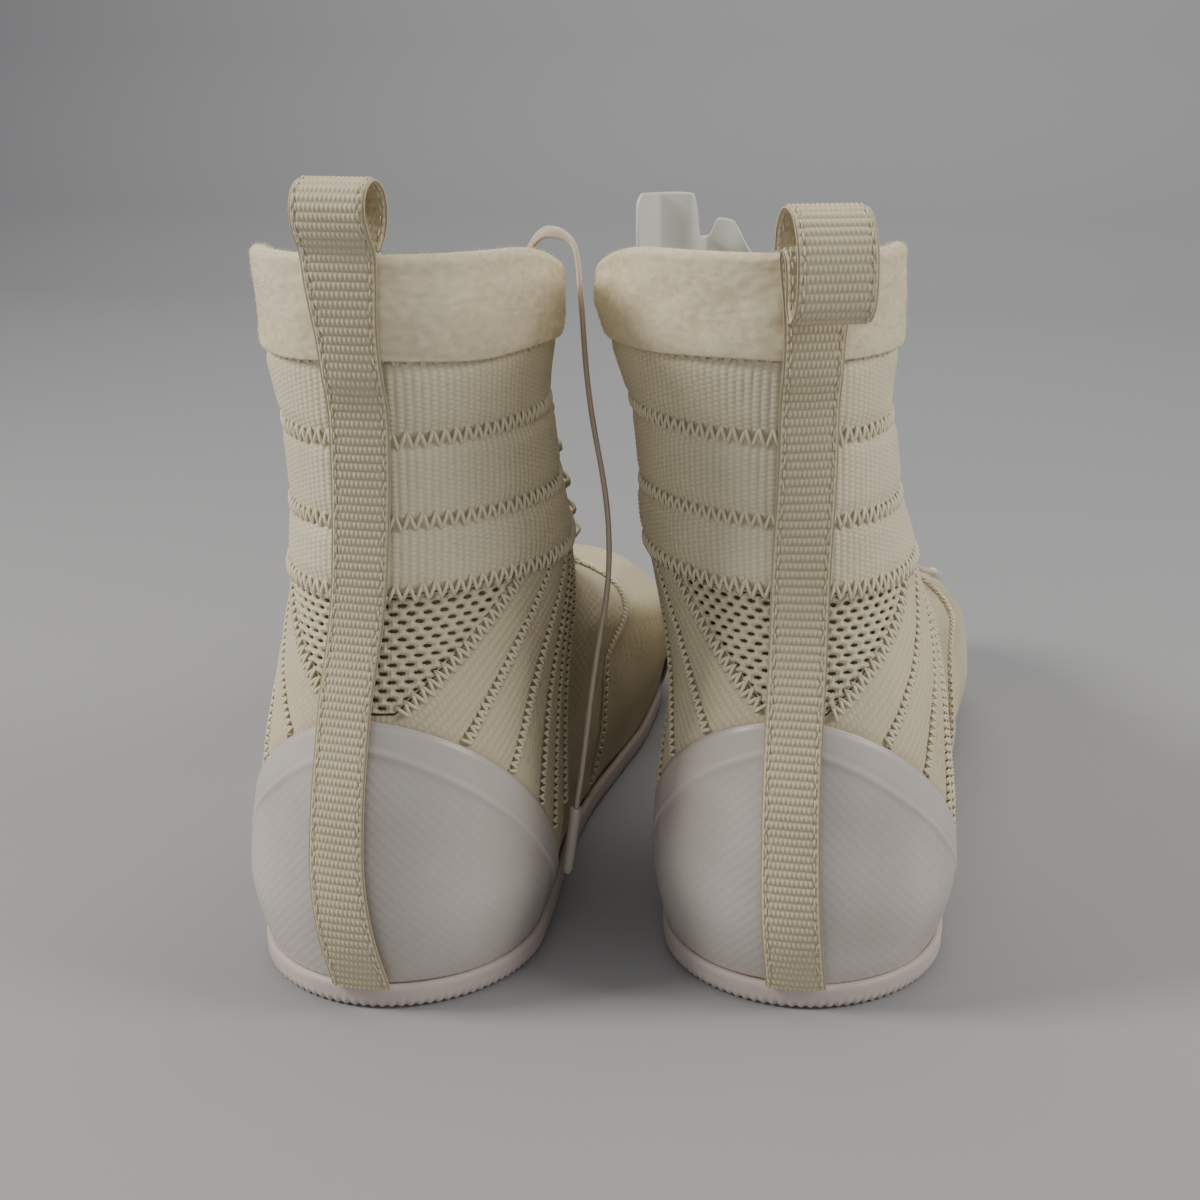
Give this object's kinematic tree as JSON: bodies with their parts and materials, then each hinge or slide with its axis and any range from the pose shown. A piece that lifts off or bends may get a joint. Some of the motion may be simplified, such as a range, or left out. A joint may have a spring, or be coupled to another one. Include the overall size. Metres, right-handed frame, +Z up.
{
  "type": "boxing boots",
  "caption": "Pair of knitted high-top boxing boots with elastic ankle bands, fleece collars, heel straps with pull loops, tongues, lace loops and laces.",
  "frame": {"origin": "middle of the bottom of the pair's box, on the ground", "axes": "+Z up, +Y towards the toes, +X from the left boot to the right boot"},
  "size_m": [0.2022, 0.3163, 0.2043],
  "materials": {
    "rubber": "satin moulded rubber",
    "board": "matt fibre board",
    "foam": "soft foam under cloth",
    "lining_cloth": "brushed textile",
    "knit": "engineered knit",
    "mesh": "open mesh knit",
    "film": "semi-gloss moulded film",
    "webbing": "ribbed webbing",
    "fleece": "felted fleece",
    "tongue_cloth": "smooth coated cloth",
    "lace_cord": "flat woven lace",
    "aglet_plastic": "clear-coated tip"
  },
  "bodies": {
    "left_boot": {"left_outsole": "rubber", "left_insole_board": "board", "left_sockliner": "foam", "left_lining": "lining_cloth", "left_vamp": "knit", "left_toe_cap": "film", "left_medial_quarter": "knit", "left_lateral_quarter": "knit", "left_medial_gusset": "mesh", "left_lateral_gusset": "mesh", "left_medial_eyestay": "knit", "left_lateral_eyestay": "knit", "left_medial_lace_loops": "webbing", "left_lateral_lace_loops": "webbing", "left_shaft": "knit", "left_lower_ankle_band": "webbing", "left_middle_ankle_band": "webbing", "left_upper_ankle_band": "webbing", "left_collar": "fleece", "left_collar_foam": "foam", "left_heel_counter": "film", "left_heel_stiffener": "board", "left_heel_strap": "webbing", "left_lace": "lace_cord", "left_lateral_lace_end": "lace_cord", "left_medial_lace_end": "lace_cord", "left_lateral_aglet": "aglet_plastic", "left_medial_aglet": "aglet_plastic"},
    "left_loop": {"left_pull_loop": "webbing"},
    "left_tongue_flap": {"left_tongue": "tongue_cloth"},
    "right_boot": {"right_outsole": "rubber", "right_insole_board": "board", "right_sockliner": "foam", "right_lining": "lining_cloth", "right_vamp": "knit", "right_toe_cap": "film", "right_medial_quarter": "knit", "right_lateral_quarter": "knit", "right_medial_gusset": "mesh", "right_lateral_gusset": "mesh", "right_medial_eyestay": "knit", "right_lateral_eyestay": "knit", "right_medial_lace_loops": "webbing", "right_lateral_lace_loops": "webbing", "right_shaft": "knit", "right_lower_ankle_band": "webbing", "right_middle_ankle_band": "webbing", "right_upper_ankle_band": "webbing", "right_collar": "fleece", "right_collar_foam": "foam", "right_heel_counter": "film", "right_heel_stiffener": "board", "right_heel_strap": "webbing", "right_lace": "lace_cord", "right_lateral_lace_end": "lace_cord", "right_medial_lace_end": "lace_cord", "right_lateral_aglet": "aglet_plastic", "right_medial_aglet": "aglet_plastic"},
    "right_loop": {"right_pull_loop": "webbing"},
    "right_tongue_flap": {"right_tongue": "tongue_cloth"}
  },
  "joints": [
    {"name": "right_boot_apart", "type": "slide", "parent": "left_boot", "child": "right_boot", "axis": [1, 0, 0], "range_m": [0, 0.15]},
    {"name": "left_loop_fold", "type": "hinge", "parent": "left_boot", "child": "left_loop", "pos_m": [-0.04249, -0.14895, 0.1884], "axis": [0.9993, 0.0384, 0], "range_deg": [-40, 60], "stiffness_Nm_per_rad": 0.02},
    {"name": "right_loop_fold", "type": "hinge", "parent": "right_boot", "child": "right_loop", "pos_m": [0.06016, -0.12355, 0.1885], "axis": [0.9135, 0.4067, 0], "range_deg": [-90, 3], "stiffness_Nm_per_rad": 0.02},
    {"name": "left_tongue_swing", "type": "hinge", "parent": "left_boot", "child": "left_tongue_flap", "pos_m": [-0.04901, -0.0044, 0.08], "axis": [0.999, 0.0436, 0], "range_deg": [0, 6], "stiffness_Nm_per_rad": 0.6},
    {"name": "right_tongue_swing", "type": "hinge", "parent": "right_boot", "child": "right_tongue_flap", "pos_m": [0.0536, 0.01651, 0.08], "axis": [0.9397, 0.342, 0], "range_deg": [0, 6], "stiffness_Nm_per_rad": 0.6}
  ]
}
